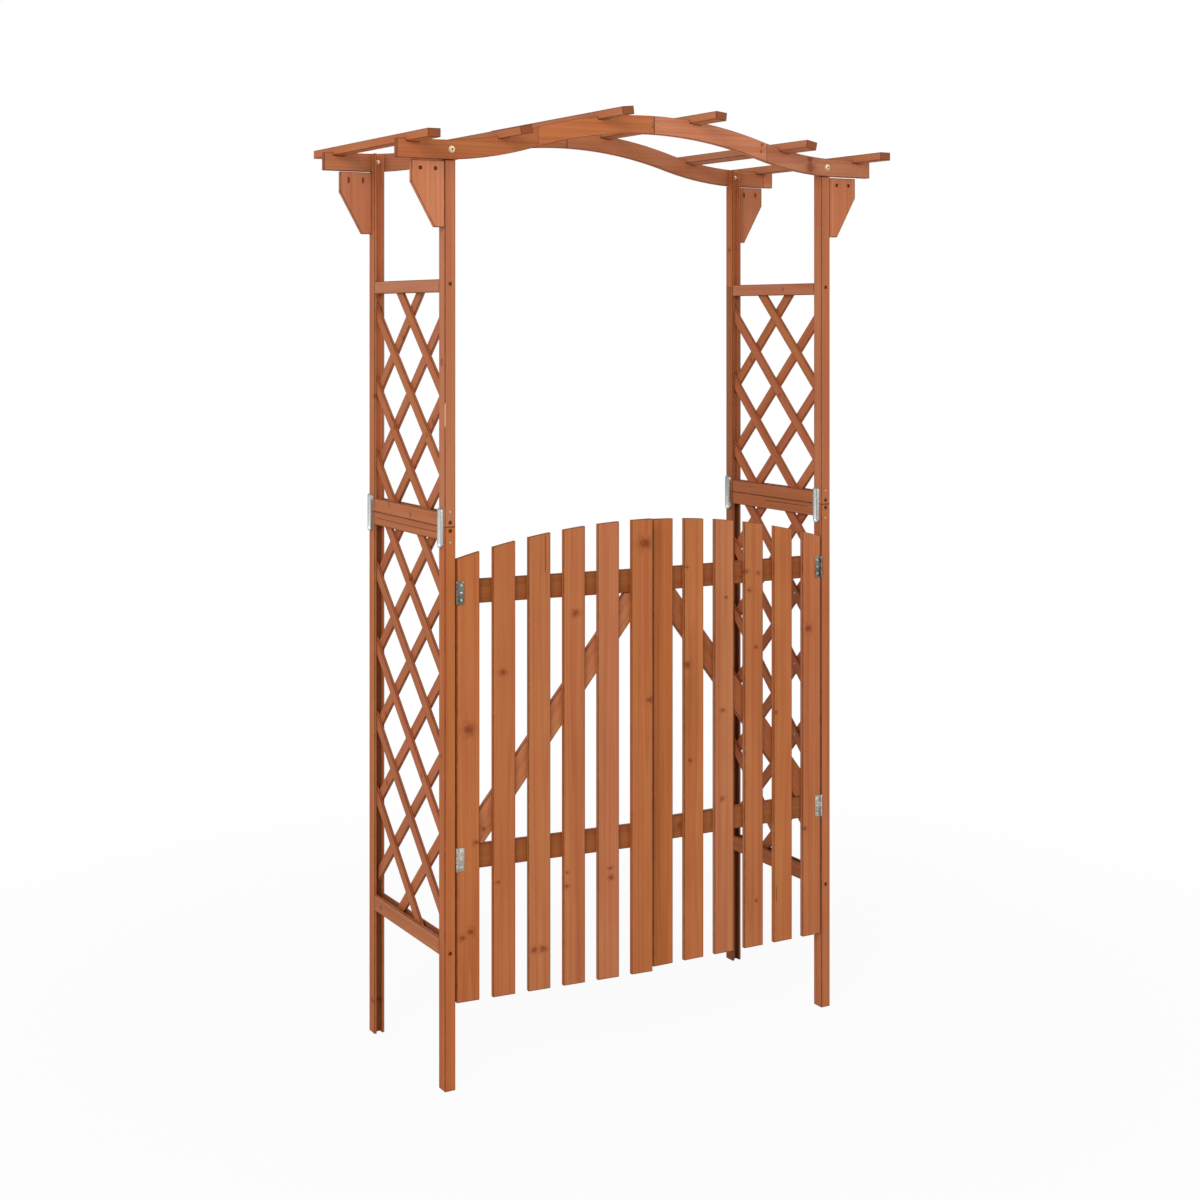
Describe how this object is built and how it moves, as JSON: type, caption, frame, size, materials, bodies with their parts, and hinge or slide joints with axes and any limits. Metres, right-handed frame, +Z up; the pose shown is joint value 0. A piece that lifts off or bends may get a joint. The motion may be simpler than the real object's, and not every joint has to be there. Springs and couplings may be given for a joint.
{
  "type": "garden arch with gate",
  "caption": "Free-standing wooden garden arch with trellis sides, a serpentine slatted roof and a hinged slatted gate.",
  "frame": {"origin": "on the ground, in the middle of the arch's width and depth", "axes": "+X along the width, to the right for a viewer in front; -Y towards the front, where the gate leaves hang; +Z up"},
  "size_m": [1.2, 0.614, 2.0367],
  "materials": {
    "frame_timber": "stained, satin",
    "lath_timber": "stained, satin",
    "roof_timber": "stained, satin",
    "gate_timber": "stained, satin",
    "hinge_steel": "zinc plated, satin"
  },
  "bodies": {
    "arch": {"front_left_lower_post": "frame_timber", "front_left_upper_post": "frame_timber", "front_right_lower_post": "frame_timber", "front_right_upper_post": "frame_timber", "rear_left_lower_post": "frame_timber", "rear_left_upper_post": "frame_timber", "rear_right_lower_post": "frame_timber", "rear_right_upper_post": "frame_timber", "left_bottom_rail": "frame_timber", "left_lower_middle_rail": "frame_timber", "left_upper_middle_rail": "frame_timber", "left_top_rail": "frame_timber", "right_bottom_rail": "frame_timber", "right_lower_middle_rail": "frame_timber", "right_upper_middle_rail": "frame_timber", "right_top_rail": "frame_timber", "left_lower_lattice": "lath_timber", "left_upper_lattice": "lath_timber", "right_lower_lattice": "lath_timber", "right_upper_lattice": "lath_timber", "front_left_bracket": "roof_timber", "front_right_bracket": "roof_timber", "rear_left_bracket": "roof_timber", "rear_right_bracket": "roof_timber", "front_beam_left_half": "roof_timber", "front_beam_right_half": "roof_timber", "rear_beam_left_half": "roof_timber", "rear_beam_right_half": "roof_timber", "rafter_1": "roof_timber", "rafter_2": "roof_timber", "rafter_3": "roof_timber", "rafter_4": "roof_timber", "rafter_5": "roof_timber", "rafter_6": "roof_timber", "left_lower_hinge_post_leaf": "hinge_steel", "left_upper_hinge_post_leaf": "hinge_steel", "right_lower_hinge_post_leaf": "hinge_steel", "right_upper_hinge_post_leaf": "hinge_steel"},
    "left_leaf": {"left_slat_1": "gate_timber", "left_slat_2": "gate_timber", "left_slat_3": "gate_timber", "left_slat_4": "gate_timber", "left_slat_5": "gate_timber", "left_slat_6": "gate_timber", "left_lower_ledge": "gate_timber", "left_upper_ledge": "gate_timber", "left_brace": "gate_timber", "left_lower_hinge_gate_leaf": "hinge_steel", "left_upper_hinge_gate_leaf": "hinge_steel"},
    "right_leaf": {"right_slat_1": "gate_timber", "right_slat_2": "gate_timber", "right_slat_3": "gate_timber", "right_slat_4": "gate_timber", "right_slat_5": "gate_timber", "right_slat_6": "gate_timber", "right_lower_ledge": "gate_timber", "right_upper_ledge": "gate_timber", "right_brace": "gate_timber", "right_lower_hinge_gate_leaf": "hinge_steel", "right_upper_hinge_gate_leaf": "hinge_steel"}
  },
  "joints": [
    {"name": "left_gate_hinge", "type": "hinge", "parent": "arch", "child": "left_leaf", "pos_m": [-0.4636, -0.1997, 0.746], "axis": [0, 0, -1], "range_deg": [-9.8, 170.2]},
    {"name": "right_gate_hinge", "type": "hinge", "parent": "arch", "child": "right_leaf", "pos_m": [0.4636, -0.1997, 0.746], "axis": [0, 0, 1], "range_deg": [-5, 175]}
  ]
}
